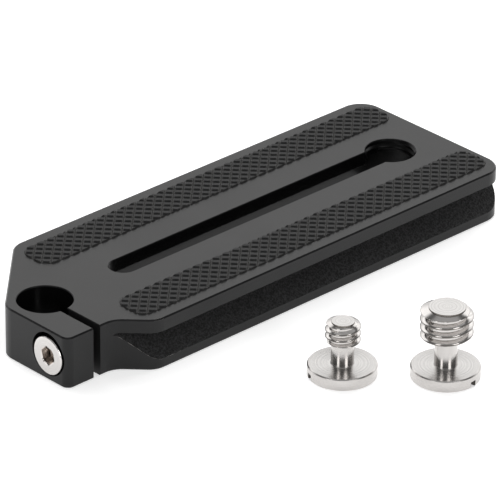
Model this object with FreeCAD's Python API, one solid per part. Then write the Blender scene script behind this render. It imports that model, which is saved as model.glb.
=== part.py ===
import FreeCAD, Part
import math
import os

os.makedirs("parts", exist_ok=True)

# The camera riser plate lies flat. X runs from the clamp nose to the back, Y to the far side, Z up.
# The origin is on the axis of the rod clamp bore, at the bottom face. All sizes are millimetres.

# plate outline
plate_length = 103.5
plate_width = 38.0
plate_thickness = 10.0
shoulder_angle = 45.0        # of the two slanted shoulders against the long sides
outline_radius = 4.0
back_corner_radius = 4.5
jaw_corner_radius = 1.5
edge_break = 0.25            # chamfer along the outline's top and bottom edges
hole_edge_break = 0.1        # chamfer along the top edges of the bore, the slit and the slot

# rod clamp
rod_diameter = 10.0
rod_clearance = 0.05         # all round
nose_wall = 1.85             # round the bore, to the front face and to the far shoulder
slit_width = 1.6

# clamp screw, an M4 hex socket cap screw across the slit
clamp_thread_diameter = 4.0
clamp_screw_length = 12.0
clamp_tip_break = 0.5
clamp_head_diameter = 7.2
clamp_head_height = 4.0
clamp_head_break = 0.35
clamp_hex_size = 3.0         # across flats
clamp_hex_depth = 2.0
clamp_hex_turn = -15.0       # of the recess, from a corner pointing down
clamp_head_proud = 0.2
clamp_bore_wall = 1.3        # between the rod bore and the screw's clearance hole
clamp_side_wall = 0.9        # between the screw's counterbore and the nose's near side
clamp_thread_clearance = 0.05
clamp_hole_clearance = 0.25
clamp_counterbore_clearance = 0.5
clamp_counterbore_rise = 0.3 # of the counterbore above the screw's axis
clamp_axis_drop = 0.12       # of the screw's axis below the middle of the thickness
clamp_tip_room = 1.2
drill_point_angle = 118.0

# dovetail grooves along both long sides
top_flange_thickness = 2.6
bottom_flange_thickness = 1.9
dovetail_angle = 45.0
dovetail_neck_height = 0.3

# camera screws, stood on their flanges beside the plate
flange_diameter = 12.4
flange_thickness = 2.3
flange_edge_break = 0.06
screw_neck_diameter = 4.1
coin_slot_width = 1.2
coin_slot_depth = 1.2
thread_end_angle = 18.0      # of the cones at both ends of a thread, against level
tip_rim_height = 0.28        # of the plain disc above the thread
quarter_thread_diameter = 6.3
quarter_thread_length = 4.0
quarter_neck_length = 4.35
quarter_tip_taper = 1.05     # of the radius
quarter_root_taper = 0.5
quarter_place_x = 32.2
quarter_place_gap = 22.7     # from the plate's near side to the screw axis
quarter_coin_angle = 158.0
three_eighths_thread_diameter = 9.45
three_eighths_thread_length = 5.75
three_eighths_neck_length = 5.75
three_eighths_tip_taper = 1.4
three_eighths_root_taper = 0.9
three_eighths_place_x = 45.05
three_eighths_place_gap = 35.3
three_eighths_coin_angle = 96.0

# slot for the camera screws, with its threaded keyhole and the channel for their flanges
lip_thickness = 2.6          # of the plate above the channel
slot_front_setback = 22.7    # from the nose's front face to the slot's front end
keyhole_back_margin = 11.3   # from the keyhole axis to the plate's back end
keyhole_clearance = 0.05     # round the 3/8 inch thread
slot_clearance = 0.65        # each side of the screw neck
channel_clearance = 0.4      # each side of the screw flange

# rubber grip strips, glued into pockets of the top face
strip_width = 7.4
strip_front_setback = 15.1   # from the nose's front face to the strips' front ends
strip_back_margin = 1.4      # from the strips' back ends to the plate's back end
strip_side_margin = 2.65     # from each strip to its long side of the plate
strip_corner_radius = 2.5
strip_pocket_depth = 0.8
strip_proud = 0.3
strip_clearance = 0.05
stud_pitch = 1.66
stud_field_turn = -1.5       # of the stud rows against 45 degrees
stud_gap = 0.42              # between the studs of a row
stud_row_gap = 0.84          # between the rows
stud_height = 0.3
far_strip_row_shift = 0.04   # of a row: both strips are cut from one sheet, at different places
near_strip_row_shift = 0.54

# places worked out from the sizes above
half_width = plate_width / 2
shoulder_slope = math.tan(math.radians(shoulder_angle))
bore_radius = rod_diameter / 2 + rod_clearance
nose_reach = bore_radius + nose_wall
front_x = -nose_reach
back_x = front_x + plate_length
clamp_hole_radius = clamp_thread_diameter / 2 + clamp_hole_clearance
clamp_counterbore_radius = clamp_head_diameter / 2 + clamp_counterbore_clearance
clamp_y = -(bore_radius + clamp_bore_wall + clamp_hole_radius)
clamp_z = plate_thickness / 2 - clamp_axis_drop
clamp_seat_x = front_x + clamp_head_height - clamp_head_proud
nose_near_y = clamp_y - clamp_counterbore_radius - clamp_side_wall
slot_radius = screw_neck_diameter / 2 + slot_clearance
slot_front_x = front_x + slot_front_setback + slot_radius
keyhole_x = back_x - keyhole_back_margin
strip_length = plate_length - strip_front_setback - strip_back_margin
strip_middle_x = front_x + strip_front_setback + strip_length / 2
strip_offset = half_width - strip_side_margin - strip_width / 2
overrun = 1.0                # how far cutting bodies run past the faces they cut


def vector(x, y, z=0.0):
    """Point or direction in the part's frame."""
    return FreeCAD.Vector(x, y, z)


def rounded_face(corners, z):
    """Level face whose sharp corners (x, y, radius) are each rounded with an arc."""
    points = [vector(x, y, z) for x, y, radius in corners]
    count = len(corners)
    starts = []
    ends = []
    arcs = []
    for index in range(count):
        point = points[index]
        back = points[index - 1] - point
        onward = points[(index + 1) % count] - point
        half_angle = back.getAngle(onward) / 2
        reach = min(corners[index][2] / math.tan(half_angle), 0.45 * back.Length, 0.45 * onward.Length)
        radius = reach * math.tan(half_angle)
        back.normalize()
        onward.normalize()
        inward = (back + onward).normalize()
        middle = point + inward * (radius / math.sin(half_angle) - radius)
        starts.append(point + back * reach)
        ends.append(point + onward * reach)
        arcs.append(Part.Arc(starts[index], middle, ends[index]).toShape())
    edges = []
    for index in range(count):
        edges.append(arcs[index])
        edges.append(Part.makeLine(ends[index], starts[(index + 1) % count]))
    return Part.Face(Part.Wire(edges))


def stadium(start_x, end_x, radius, z, height):
    """Upright prism with two round ends, centred on the plate's centre line."""
    first = Part.makeCylinder(radius, height, vector(start_x, 0, z))
    last = Part.makeCylinder(radius, height, vector(end_x, 0, z))
    middle = Part.makeBox(end_x - start_x, 2 * radius, height, vector(start_x, -radius, z))
    return middle.fuse([first, last]).removeSplitter()


def cylinder_along_x(radius, start_x, end_x, rise=0.0):
    """Cylinder between two places on the clamp screw's axis, or on a line above it."""
    start = vector(start_x, clamp_y, clamp_z + rise)
    return Part.makeCylinder(radius, end_x - start_x, start, vector(1, 0, 0))


def edges_at_height(shape, z):
    """Edges of a shape that lie in one level plane."""
    found = []
    for edge in shape.Edges:
        box = edge.BoundBox
        if abs(box.ZMin - z) < 1e-6 and abs(box.ZMax - z) < 1e-6:
            found.append(edge)
    return found


def plate_blank():
    """The plate's outline at full thickness, with the clamp nose off to the near side."""
    shoulder_x = (half_width - nose_reach / math.cos(math.radians(shoulder_angle))) / shoulder_slope
    nose_far_y = half_width - (shoulder_x - front_x) * shoulder_slope
    neck_x = shoulder_x - (half_width + nose_near_y) / shoulder_slope
    corners = [
        (front_x, nose_near_y, jaw_corner_radius),
        (neck_x, nose_near_y, outline_radius),
        (shoulder_x, -half_width, outline_radius),
        (back_x, -half_width, back_corner_radius),
        (back_x, half_width, back_corner_radius),
        (shoulder_x, half_width, outline_radius),
        (front_x, nose_far_y, outline_radius),
    ]
    blank = rounded_face(corners, 0).extrude(vector(0, 0, plate_thickness))
    return blank.makeChamfer(edge_break, edges_at_height(blank, 0) + edges_at_height(blank, plate_thickness))


def rod_clamp_cut():
    """Bore for the rod, with the slit that lets the jaw close on it."""
    height = plate_thickness + 2 * overrun
    bore = Part.makeCylinder(bore_radius, height, vector(0, 0, -overrun))
    slit_length = half_width + overrun
    slit = Part.makeBox(slit_width, slit_length, height, vector(-slit_width / 2, -slit_length, -overrun))
    return bore.fuse(slit)


def screw_slot_cut():
    """Slot and keyhole through the lip, above the channel that takes the screw flanges."""
    lip_z = plate_thickness - lip_thickness
    cut_z = lip_z - overrun
    cut_height = lip_thickness + 2 * overrun
    keyhole_radius = three_eighths_thread_diameter / 2 + keyhole_clearance
    channel_radius = flange_diameter / 2 + channel_clearance
    slot = stadium(slot_front_x, keyhole_x, slot_radius, cut_z, cut_height)
    keyhole = Part.makeCylinder(keyhole_radius, cut_height, vector(keyhole_x, 0, cut_z))
    channel = stadium(slot_front_x, keyhole_x, channel_radius, -overrun, lip_z + overrun)
    return slot.fuse([keyhole, channel])


def dovetail_cut(side):
    """Groove along one long side: a level top, a short neck and a slanted dovetail face."""
    slope = math.tan(math.radians(dovetail_angle))
    top_z = plate_thickness - top_flange_thickness
    neck_z = top_z - dovetail_neck_height
    neck_y = half_width - (neck_z - bottom_flange_thickness) / slope
    outer_y = half_width + overrun
    start_x = front_x - overrun
    profile = [
        vector(start_x, side * outer_y, bottom_flange_thickness - overrun * slope),
        vector(start_x, side * neck_y, neck_z),
        vector(start_x, side * neck_y, top_z),
        vector(start_x, side * outer_y, top_z),
    ]
    wire = Part.makePolygon(profile + [profile[0]])
    return Part.Face(wire).extrude(vector(plate_length + 2 * overrun, 0, 0))


def clamp_screw_cut():
    """Counterbore and clearance hole in the jaw, and the tapped hole behind the slit."""
    tapped_radius = clamp_thread_diameter / 2 + clamp_thread_clearance
    tapped_end = clamp_seat_x + clamp_screw_length + clamp_tip_room
    point_length = tapped_radius / math.tan(math.radians(drill_point_angle / 2))
    counterbore = cylinder_along_x(
        clamp_counterbore_radius, front_x - overrun, clamp_seat_x, clamp_counterbore_rise
    )
    hole = cylinder_along_x(clamp_hole_radius, clamp_seat_x - overrun, 0)
    tapped = cylinder_along_x(tapped_radius, 0, tapped_end)
    point = Part.makeCone(
        tapped_radius, 0, point_length, vector(tapped_end, clamp_y, clamp_z), vector(1, 0, 0)
    )
    return counterbore.fuse([hole, tapped, point])


def strip_face(growth, z):
    """Outline of a grip strip on the centre line, grown all round by a clearance."""
    half_length = strip_length / 2 + growth
    half_strip = strip_width / 2 + growth
    radius = strip_corner_radius + growth
    corners = [
        (strip_middle_x - half_length, -half_strip, radius),
        (strip_middle_x + half_length, -half_strip, radius),
        (strip_middle_x + half_length, half_strip, radius),
        (strip_middle_x - half_length, half_strip, radius),
    ]
    return rounded_face(corners, z)


def strip_pocket(side):
    """Shallow pocket of the top face that one grip strip is glued into."""
    face = strip_face(strip_clearance, plate_thickness - strip_pocket_depth)
    face.translate(vector(0, side * strip_offset, 0))
    return face.extrude(vector(0, 0, strip_pocket_depth + overrun))


def top_edges_of_cut(plate, cutter):
    """Edges that a cut has left on the plate's top face."""
    found = []
    for edge in edges_at_height(plate, plate_thickness):
        middle = edge.valueAt((edge.FirstParameter + edge.LastParameter) / 2)
        if Part.Vertex(middle).distToShape(cutter)[0] < 1e-6:
            found.append(edge)
    return found


def plate_body():
    """The machined aluminium plate."""
    holes = [rod_clamp_cut(), screw_slot_cut()]
    plate = plate_blank().cut(holes)
    hole_edges = top_edges_of_cut(plate, holes[0]) + top_edges_of_cut(plate, holes[1])
    plate = plate.makeChamfer(hole_edge_break, hole_edges)
    cuts = [dovetail_cut(-1), dovetail_cut(1), clamp_screw_cut(), strip_pocket(-1), strip_pocket(1)]
    return plate.cut(cuts).removeSplitter()


def stud_grooves(turn, width, row_shift, top):
    """Parallel V grooves across a strip, turned by an angle against its length."""
    reach = strip_width * 1.5
    # each V runs on past the top by half its depth
    profile = [
        vector(-reach, 0, top - stud_height),
        vector(-reach, 0.75 * width, top + 0.5 * stud_height),
        vector(-reach, -0.75 * width, top + 0.5 * stud_height),
    ]
    wire = Part.makePolygon(profile + [profile[0]])
    groove = Part.Face(wire).extrude(vector(2 * reach, 0, 0))
    groove.rotate(vector(0, 0, 0), vector(0, 0, 1), turn)
    spacing = stud_pitch / abs(math.sin(math.radians(turn)))
    count = int((strip_length + strip_width) / spacing / 2)
    grooves = []
    for index in range(-count, count + 1):
        copy = groove.copy()
        copy.translate(vector(strip_middle_x + (index + row_shift) * spacing, 0, 0))
        grooves.append(copy)
    return grooves


def grip_strip(side, row_shift):
    """Rubber strip with slanting rows of small studs, left between crossing grooves."""
    bottom = plate_thickness - strip_pocket_depth
    top = plate_thickness + strip_proud
    strip = strip_face(0, bottom).extrude(vector(0, 0, top - bottom))
    strip = strip.cut(stud_grooves(45 + stud_field_turn, stud_gap, 0, top))
    strip = strip.cut(stud_grooves(-45 + stud_field_turn, stud_row_gap, row_shift, top))
    strip.translate(vector(0, side * strip_offset, 0))
    return strip


def hex_socket():
    """Hexagonal drive recess that opens downwards, with the drill point at its end."""
    hex_radius = clamp_hex_size / 2 / math.cos(math.radians(30))
    corners = []
    for index in range(7):
        angle = math.radians(60 * index + clamp_hex_turn)
        corners.append(vector(hex_radius * math.cos(angle), hex_radius * math.sin(angle)))
    point_length = clamp_hex_size / 2 / math.tan(math.radians(drill_point_angle / 2))
    recess = Part.Face(Part.makePolygon(corners)).extrude(vector(0, 0, clamp_hex_depth))
    point = Part.makeCone(clamp_hex_size / 2, 0, point_length, vector(0, 0, clamp_hex_depth))
    return recess.fuse(point)


def clamp_screw():
    """Hex socket cap screw that draws the jaw closed, lying along X with its head in the nose."""
    tip_z = clamp_head_height + clamp_screw_length
    head = Part.makeCylinder(clamp_head_diameter / 2, clamp_head_height)
    head = head.makeChamfer(clamp_head_break, edges_at_height(head, 0))
    shank = Part.makeCylinder(clamp_thread_diameter / 2, clamp_screw_length, vector(0, 0, clamp_head_height))
    shank = shank.makeChamfer(clamp_tip_break, edges_at_height(shank, tip_z))
    screw = head.fuse(shank).cut(hex_socket()).removeSplitter()
    screw.rotate(vector(0, 0, 0), vector(0, 1, 0), 90)
    screw.translate(vector(clamp_seat_x - clamp_head_height, clamp_y, clamp_z))
    return screw


def camera_screw(thread_diameter, thread_length, neck_length, tip_taper, root_taper, coin_angle):
    """Flanged camera screw with a bare neck below its thread and a coin slot under its flange."""
    flange_radius = flange_diameter / 2
    neck_radius = screw_neck_diameter / 2
    thread_radius = thread_diameter / 2
    neck_top = flange_thickness + neck_length
    tip = neck_top + thread_length
    end_slope = math.tan(math.radians(thread_end_angle))
    profile = [
        vector(0, 0, 0),
        vector(flange_radius - flange_edge_break, 0, 0),
        vector(flange_radius, 0, flange_edge_break),
        vector(flange_radius, 0, flange_thickness - flange_edge_break),
        vector(flange_radius - flange_edge_break, 0, flange_thickness),
        vector(neck_radius, 0, flange_thickness),
        vector(neck_radius, 0, neck_top),
        vector(thread_radius - root_taper, 0, neck_top),
        vector(thread_radius, 0, neck_top + root_taper * end_slope),
        vector(thread_radius, 0, tip - tip_rim_height - tip_taper * end_slope),
        vector(thread_radius - tip_taper, 0, tip - tip_rim_height),
        vector(thread_radius - tip_taper, 0, tip),
        vector(0, 0, tip),
    ]
    wire = Part.makePolygon(profile + [profile[0]])
    screw = Part.Face(wire).revolve(vector(0, 0, 0), vector(0, 0, 1), 360)
    coin_slot = Part.makeBox(
        flange_diameter + 2 * overrun,
        coin_slot_width,
        coin_slot_depth + overrun,
        vector(-flange_radius - overrun, -coin_slot_width / 2, -overrun),
    )
    coin_slot.rotate(vector(0, 0, 0), vector(0, 0, 1), coin_angle)
    return screw.cut(coin_slot)


def camera_screw_quarter():
    """The 1/4 inch camera screw, beside the plate."""
    screw = camera_screw(
        quarter_thread_diameter,
        quarter_thread_length,
        quarter_neck_length,
        quarter_tip_taper,
        quarter_root_taper,
        quarter_coin_angle,
    )
    screw.translate(vector(quarter_place_x, -half_width - quarter_place_gap))
    return screw


def camera_screw_three_eighths():
    """The 3/8 inch camera screw, beside the plate."""
    screw = camera_screw(
        three_eighths_thread_diameter,
        three_eighths_thread_length,
        three_eighths_neck_length,
        three_eighths_tip_taper,
        three_eighths_root_taper,
        three_eighths_coin_angle,
    )
    screw.translate(vector(three_eighths_place_x, -half_width - three_eighths_place_gap))
    return screw


parts = {
    "plate_body": plate_body(),
    "grip_strip_far": grip_strip(1, far_strip_row_shift),
    "grip_strip_near": grip_strip(-1, near_strip_row_shift),
    "clamp_screw": clamp_screw(),
    "camera_screw_quarter": camera_screw_quarter(),
    "camera_screw_three_eighths": camera_screw_three_eighths(),
}

for name, shape in parts.items():
    shape.exportStep("parts/" + name + ".step")
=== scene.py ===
"""The camera riser plate in its finishes, with its screws, on a pale studio floor.

The lengths in the classes below are millimetres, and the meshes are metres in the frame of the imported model:
X from the clamp nose to the back, Y to the far side and Z up, from the rod bore's axis at the bottom face.
"""

import logging
import math
from dataclasses import dataclass, field, replace
from enum import Enum
from typing import Any, Callable, Sequence, Union

import bmesh
import bpy
from mathutils import Matrix, Vector


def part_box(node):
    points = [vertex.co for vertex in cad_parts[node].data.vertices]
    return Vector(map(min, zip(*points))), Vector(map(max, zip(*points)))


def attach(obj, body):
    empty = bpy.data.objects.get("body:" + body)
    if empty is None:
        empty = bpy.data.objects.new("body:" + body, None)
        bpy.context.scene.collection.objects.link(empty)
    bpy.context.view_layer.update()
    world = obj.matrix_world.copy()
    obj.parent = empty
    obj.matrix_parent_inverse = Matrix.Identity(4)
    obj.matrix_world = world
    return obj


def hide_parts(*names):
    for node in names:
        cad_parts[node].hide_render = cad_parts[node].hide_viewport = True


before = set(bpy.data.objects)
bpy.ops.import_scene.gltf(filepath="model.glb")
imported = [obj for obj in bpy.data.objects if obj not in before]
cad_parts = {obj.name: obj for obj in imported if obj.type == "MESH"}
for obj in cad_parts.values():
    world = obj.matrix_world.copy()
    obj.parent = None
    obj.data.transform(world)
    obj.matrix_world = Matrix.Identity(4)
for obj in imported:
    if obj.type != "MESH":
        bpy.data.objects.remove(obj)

LOG = logging.getLogger("riser_plate")
MM = 0.001
FULL_TURN = 2 * math.pi
SIXTH_TURN = FULL_TURN / 6
BEVEL_SAMPLES = 6
THREAD_LEAD = 1.5  # Turns that a thread starts below its lower end.
THREAD_SPARE = 3  # Turns that are added to a thread's length for its ends, which are cut off.
WELD = 0.002
SLIVER = 0.0005
CORNER_SHARE = 0.49  # The most of a side that the rounding of one corner takes.

Colour = tuple[float, float, float, float]
Point = tuple[float, float]
Place = tuple[float, float, float]
Box = tuple[Place, Place]
Radius = Union[float, Callable[[float], float]]
Socket = bpy.types.NodeSocket
Material = bpy.types.Material
Piece = bpy.types.Object

WHITE: Colour = (1.0, 1.0, 1.0, 1.0)


def shaded(colour: Colour, share: float) -> Colour:
    """A colour with its red, green and blue multiplied by a share."""
    return (*(share * part for part in colour[:3]), 1.0)


# Shader nodes and the effects that materials share.


class Wiring:
    """Adds nodes to one node tree and joins them."""

    def __init__(self, tree: bpy.types.NodeTree) -> None:
        """Takes the tree, whose nodes stay as they are."""
        self.tree = tree

    def feed(self, sockets: Any, feeds: dict[Any, Any]) -> None:
        """Joins or sets input sockets.

        Args:
            sockets: The input sockets.
            feeds: Their names or numbers, each with a socket to join or a value to set.
        """
        for key, value in feeds.items():
            if isinstance(value, Socket):
                self.tree.links.new(value, sockets[key])
            else:
                sockets[key].default_value = value

    def add(self, kind: str, feeds: dict[Any, Any] | None = None, **options: Any) -> bpy.types.Node:
        """Adds a node, sets its options and feeds its inputs.

        Args:
            kind: The node's type name after ShaderNode.
            feeds: Input names or numbers, each with a socket to join or a value to set.
            options: Options of the node.

        Returns:
            The new node.
        """
        node = self.tree.nodes.new("ShaderNode" + kind)
        for name, value in options.items():
            setattr(node, name, value)
        self.feed(node.inputs, feeds or {})
        return node

    def math(self, operation: str, first: Any, second: Any = 0.0) -> Socket:
        """Result of a Math node on two values."""
        return self.add("Math", {0: first, 1: second}, operation=operation).outputs[0]

    def times(self, first: Any, second: Any) -> Socket:
        """Product of two values."""
        return self.math("MULTIPLY", first, second)

    def above(self, value: Any, limit: Any) -> Socket:
        """Mask of where a value is above a limit."""
        return self.math("GREATER_THAN", value, limit)

    def below(self, value: Any, limit: Any) -> Socket:
        """Mask of where a value is below a limit."""
        return self.math("LESS_THAN", value, limit)

    def either(self, first: Any, second: Any) -> Socket:
        """Mask of two masks together."""
        return self.math("MAXIMUM", first, second)

    def without(self, mask: Any) -> Socket:
        """The opposite of a mask."""
        return self.math("SUBTRACT", 1.0, mask)

    def size(self, value: Any) -> Socket:
        """A value without its sign."""
        return self.math("ABSOLUTE", value)

    def step(self, value: Any, ends: Point, unit: float = 1.0) -> Socket:
        """Smooth rise from 0 to 1 between two ends, which are given in a unit."""
        feeds = {"Value": value, "From Min": ends[0] * unit, "From Max": ends[1] * unit}
        return self.add("MapRange", feeds, interpolation_type="SMOOTHSTEP").outputs["Result"]

    def scale(self, value: Any, ends: Point) -> Socket:
        """A value from 0 to 1 mapped on the range between two ends."""
        return self.add("MapRange", {"Value": value, "To Min": ends[0], "To Max": ends[1]}).outputs["Result"]

    def mix(self, share: Any, first: Any, second: Any) -> Socket:
        """Colour between two colours."""
        return self.add("Mix", {0: share, 6: first, 7: second}, data_type="RGBA").outputs[2]

    def shift(self, share: Any, first: Any, second: Any) -> Socket:
        """Value between two values."""
        return self.add("Mix", {0: share, 2: first, 3: second}, data_type="FLOAT").outputs[0]

    def parts(self, vector: Any) -> list[Socket]:
        """The three components of a vector."""
        return list(self.add("SeparateXYZ", {0: vector}).outputs)

    def dot(self, first: Any, second: Any) -> Socket:
        """Dot product of two vectors."""
        return self.add("VectorMath", {0: first, 1: second}, operation="DOT_PRODUCT").outputs["Value"]

    def radius(self, place: Any) -> Socket:
        """Distance of a place from the Z axis."""
        flat = self.add("VectorMath", {0: place, 1: (1.0, 1.0, 0.0)}, operation="MULTIPLY").outputs[0]
        return self.add("VectorMath", {0: flat}, operation="LENGTH").outputs["Value"]

    def noise(self, place: Any, density: Any, detail: float = 4.0) -> Socket:
        """Soft noise from 0 to 1."""
        return self.add("TexNoise", {"Vector": place, "Scale": density, "Detail": detail}).outputs[0]

    def rounded(self, radius: Any) -> Socket:
        """Normal that rounds the edges by a radius."""
        return self.add("Bevel", {"Radius": radius}, samples=BEVEL_SAMPLES).outputs[0]

    def normal(self) -> Socket:
        """Normal of the faces."""
        return self.add("NewGeometry").outputs["True Normal"]

    def inside(self, place: Any, low: Sequence[float], high: Sequence[float]) -> Socket:
        """Mask of a box, or of an upright prism where the corners have no height.

        Args:
            place: Coordinates.
            low: Lowest corner in millimetres.
            high: Highest corner in millimetres.

        Returns:
            The mask.
        """
        mask: Any = 1.0
        for value, start, end in zip(self.parts(place), low, high):
            mask = self.times(mask, self.above(value, start * MM))
            mask = self.times(mask, self.below(value, end * MM))
        return mask


def emptied(holder: Material | bpy.types.World) -> bpy.types.NodeTree:
    """Empties the node tree of a material or world.

    Args:
        holder: The material or world.

    Returns:
        Its tree.
    """
    holder.use_nodes = True
    holder.node_tree.nodes.clear()
    return holder.node_tree


class Coat(Wiring):
    """A material in the making, with its Principled shader, its coordinates and its faces' normal."""

    def __init__(self, name: str) -> None:
        """Starts the material.

        Args:
            name: Name of the material.
        """
        self.material = bpy.data.materials.new(name)
        super().__init__(emptied(self.material))
        self.shader = self.add("BsdfPrincipled")
        self.add("OutputMaterial", {"Surface": self.shader.outputs[0]})
        self.place = self.add("TexCoord").outputs["Object"]
        self.across, self.along, self.height = self.parts(self.place)
        self.faces = self.normal()
        _, self.sideways, self.lift = self.parts(self.faces)

    def boxes(self, boxes: Sequence[Box]) -> Socket:
        """Mask of several boxes together.

        Args:
            boxes: Lowest and highest corner of each box in millimetres.

        Returns:
            The mask.
        """
        mask: Any = 0.0
        for low, high in boxes:
            mask = self.either(mask, self.inside(self.place, low, high))
        return mask

    def finish(self, relief: Socket, feeds: dict[str, Any], under: Socket | None = None) -> Material:
        """Feeds the shader.

        Args:
            relief: Height of the surface's relief.
            feeds: The shader's inputs by name, apart from its normal.
            under: The normal that the relief lies on, if it isn't the piece's own.

        Returns:
            The finished material.
        """
        bump = self.add("Bump", {"Height": relief, "Distance": 1.0, "Strength": 1.0})
        if under is not None:
            self.feed(bump.inputs, {"Normal": under})
        self.feed(self.shader.inputs, {"Normal": bump.outputs[0], **feeds})
        return self.material


class Effect(Enum):
    """Surface effects that materials share, each a node group."""

    GRAIN = "blasted_grain"
    EDGE = "edge_wear_and_painted_lines"
    DUST = "dust_flecks"
    TURNED = "turning_marks"


@dataclass
class Effects:
    """Builds the shared node groups once and places them in materials."""

    grain_detail: float = 3.0
    grain_roughness: float = 0.6
    grain_tones: Point = (0.34, 0.68)
    edge_turns: Point = (0.01, 0.16)
    edge_density: float = 900.0
    edge_detail: float = 3.0
    edge_breaks: Point = (0.38, 0.66)
    fleck_sizes: Point = (0.03, 0.09)
    ring_tones: Point = (0.3, 0.7)
    ring_lift: float = 3.0
    ring_density: float = 700.0
    ring_detail: float = 2.0
    ring_fades: Point = (0.5, 1.3)
    groups: dict[Effect, bpy.types.NodeTree] = field(default_factory=dict)

    def __post_init__(self) -> None:
        """Builds every group."""
        self._grain()
        self._edge()
        self._dust()
        self._turned()

    def place(self, coat: Coat, effect: Effect, **values: float) -> Any:
        """Places one effect in a material.

        Args:
            coat: The material.
            effect: Which effect.
            values: The group's value inputs.

        Returns:
            The outputs of the group.
        """
        feeds = {"Vector": coat.place, **values}
        return coat.add("Group", feeds, node_tree=self.groups[effect]).outputs

    def _open(self, effect: Effect, values: Sequence[str], results: Sequence[str]) -> tuple[Wiring, Any, Any]:
        """Starts a group with a Vector input, value inputs and value outputs.

        Args:
            effect: Which effect.
            values: Names of the value inputs.
            results: Names of the outputs.

        Returns:
            The group's wiring, its input sockets and its output sockets.
        """
        tree = bpy.data.node_groups.new(effect.value, "ShaderNodeTree")
        self.groups[effect] = tree
        tree.interface.new_socket("Vector", in_out="INPUT", socket_type="NodeSocketVector")
        for way, names in (("INPUT", values), ("OUTPUT", results)):
            for name in names:
                tree.interface.new_socket(name, in_out=way, socket_type="NodeSocketFloat")
        entry, leave = tree.nodes.new("NodeGroupInput"), tree.nodes.new("NodeGroupOutput")
        return Wiring(tree), entry.outputs, leave.inputs

    def _grain(self) -> None:
        """Grain of a blasted or moulded surface, fine on coarse."""
        wiring, entry, leave = self._open(Effect.GRAIN, ("Size",), ("Height", "Tone"))
        feeds = {
            "Vector": entry["Vector"],
            "Scale": wiring.math("DIVIDE", 1.0, entry["Size"]),
            "Detail": self.grain_detail,
            "Roughness": self.grain_roughness,
        }
        fine = wiring.add("TexNoise", feeds).outputs[0]
        wiring.feed(leave, {"Height": fine, "Tone": wiring.step(fine, self.grain_tones)})

    def _edge(self) -> None:
        """Mask of edges, broken up along their length: rubbed edges on the plate, painted edge lines and
        painted shade on the steel.
        """
        wiring, entry, leave = self._open(Effect.EDGE, ("Reach",), ("Mask",))
        along = wiring.dot(wiring.rounded(entry["Reach"]), wiring.normal())
        edge = wiring.step(wiring.without(along), self.edge_turns)
        patches = wiring.noise(entry["Vector"], self.edge_density, self.edge_detail)
        breaks = wiring.step(patches, self.edge_breaks)
        wiring.feed(leave, {"Mask": wiring.times(edge, breaks)})

    def _dust(self) -> None:
        """Mask of a few small flecks that lie far apart."""
        wiring, entry, leave = self._open(Effect.DUST, ("Spacing", "Share"), ("Mask",))
        density = wiring.math("DIVIDE", 1.0, entry["Spacing"])
        cells = wiring.add("TexVoronoi", {"Vector": entry["Vector"], "Scale": density})
        draw = wiring.parts(cells.outputs["Color"])
        chosen = wiring.below(draw[0], entry["Share"])
        fleck = wiring.below(cells.outputs["Distance"], wiring.scale(draw[1], self.fleck_sizes))
        wiring.feed(leave, {"Mask": wiring.times(chosen, fleck)})

    def _turned(self) -> None:
        """Fine rings that a turning tool leaves round the Z axis of a piece."""
        wiring, entry, leave = self._open(Effect.TURNED, ("Feed",), ("Height", "Tone"))
        height = wiring.parts(entry["Vector"])[2]
        path = wiring.math("ADD", wiring.radius(entry["Vector"]), wiring.times(height, self.ring_lift))
        feeds = {"W": wiring.math("DIVIDE", path, entry["Feed"]), "Scale": 1.0, "Detail": self.ring_detail}
        marks = wiring.add("TexNoise", feeds, noise_dimensions="1D").outputs[0]
        patches = wiring.noise(entry["Vector"], self.ring_density, self.ring_detail)
        fades = wiring.scale(patches, self.ring_fades)
        tone = wiring.times(wiring.step(marks, self.ring_tones), fades)
        wiring.feed(leave, {"Height": marks, "Tone": tone})


# Finishes.


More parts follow.
